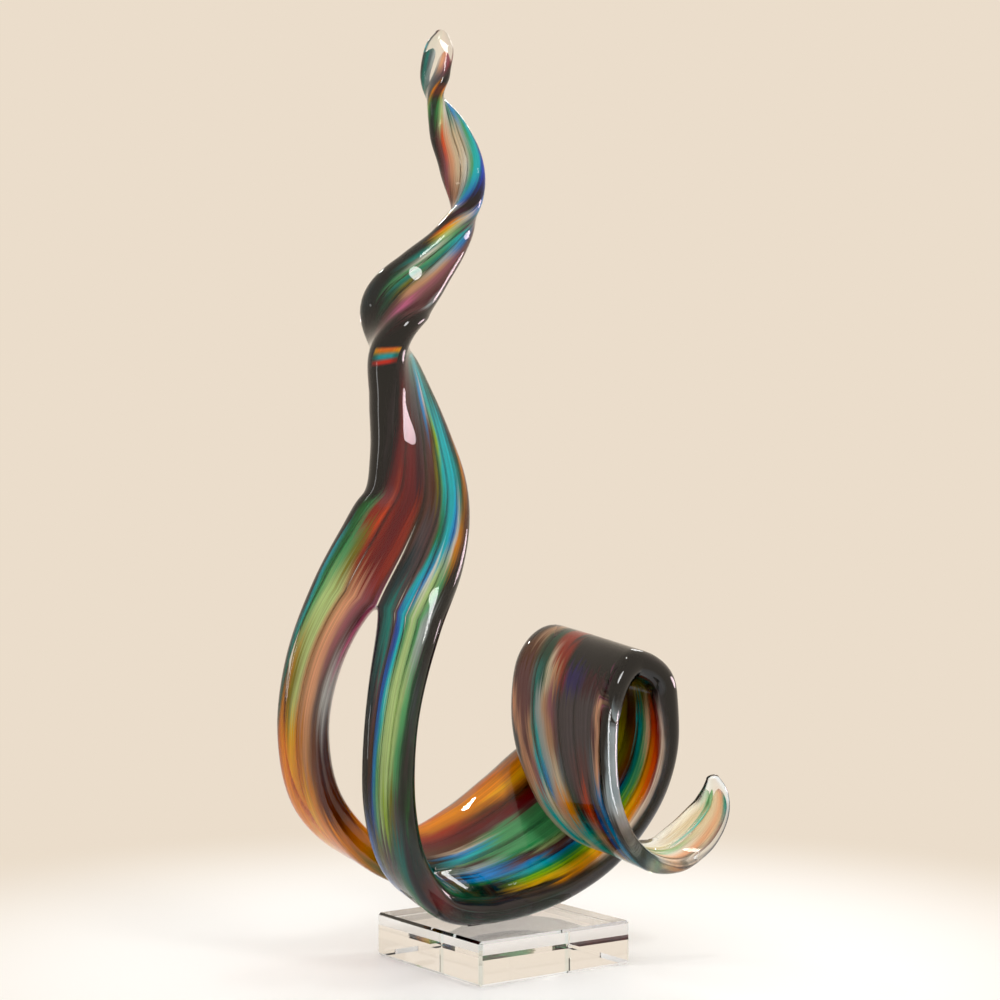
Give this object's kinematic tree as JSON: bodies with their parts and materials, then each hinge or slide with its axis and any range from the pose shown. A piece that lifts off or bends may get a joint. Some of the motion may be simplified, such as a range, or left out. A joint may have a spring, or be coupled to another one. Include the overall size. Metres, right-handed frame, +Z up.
{
  "type": "glass wave sculpture",
  "caption": "Free-standing twisted ribbon of clear glass with coloured canes inside, curled over into a loop and a small tail, glued to a square crystal plinth.",
  "frame": {"origin": "centre of the plinth's underside", "axes": "+X along the plinth's front edge, from the slit arm towards the curl; +Y to the back; +Z up to the spire"},
  "size_m": [0.2009, 0.1108, 0.432],
  "materials": {
    "crystal": "polished optical crystal, square with bevelled edges",
    "clear_adhesive": "cured clear adhesive film",
    "clear_glass": "fire-polished clear furnace glass",
    "turquoise_glass": "transparent coloured glass drawn out inside the clear casing",
    "lime_glass": "transparent coloured glass drawn out inside the clear casing",
    "amber_glass": "transparent coloured glass drawn out inside the clear casing",
    "coral_glass": "transparent coloured glass drawn out inside the clear casing",
    "ruby_glass": "transparent coloured glass drawn out inside the clear casing",
    "smoke_glass": "transparent coloured glass drawn out inside the clear casing",
    "teal_glass": "transparent coloured glass drawn out inside the clear casing",
    "amethyst_glass": "transparent coloured glass drawn out inside the clear casing",
    "cobalt_glass": "transparent coloured glass drawn out inside the clear casing",
    "jade_glass": "transparent coloured glass drawn out inside the clear casing",
    "topaz_glass": "transparent coloured glass drawn out inside the clear casing"
  },
  "bodies": {
    "root": {"crystal_plinth": "crystal", "adhesive_film": "clear_adhesive", "clear_ribbon": "clear_glass", "turquoise_cane": "turquoise_glass", "lime_cane": "lime_glass", "amber_cane": "amber_glass", "coral_cane": "coral_glass", "ruby_cane": "ruby_glass", "smoke_cane": "smoke_glass", "teal_cane": "teal_glass", "amethyst_cane": "amethyst_glass", "cobalt_cane": "cobalt_glass", "jade_cane": "jade_glass", "topaz_cane": "topaz_glass"}
  },
  "joints": []
}
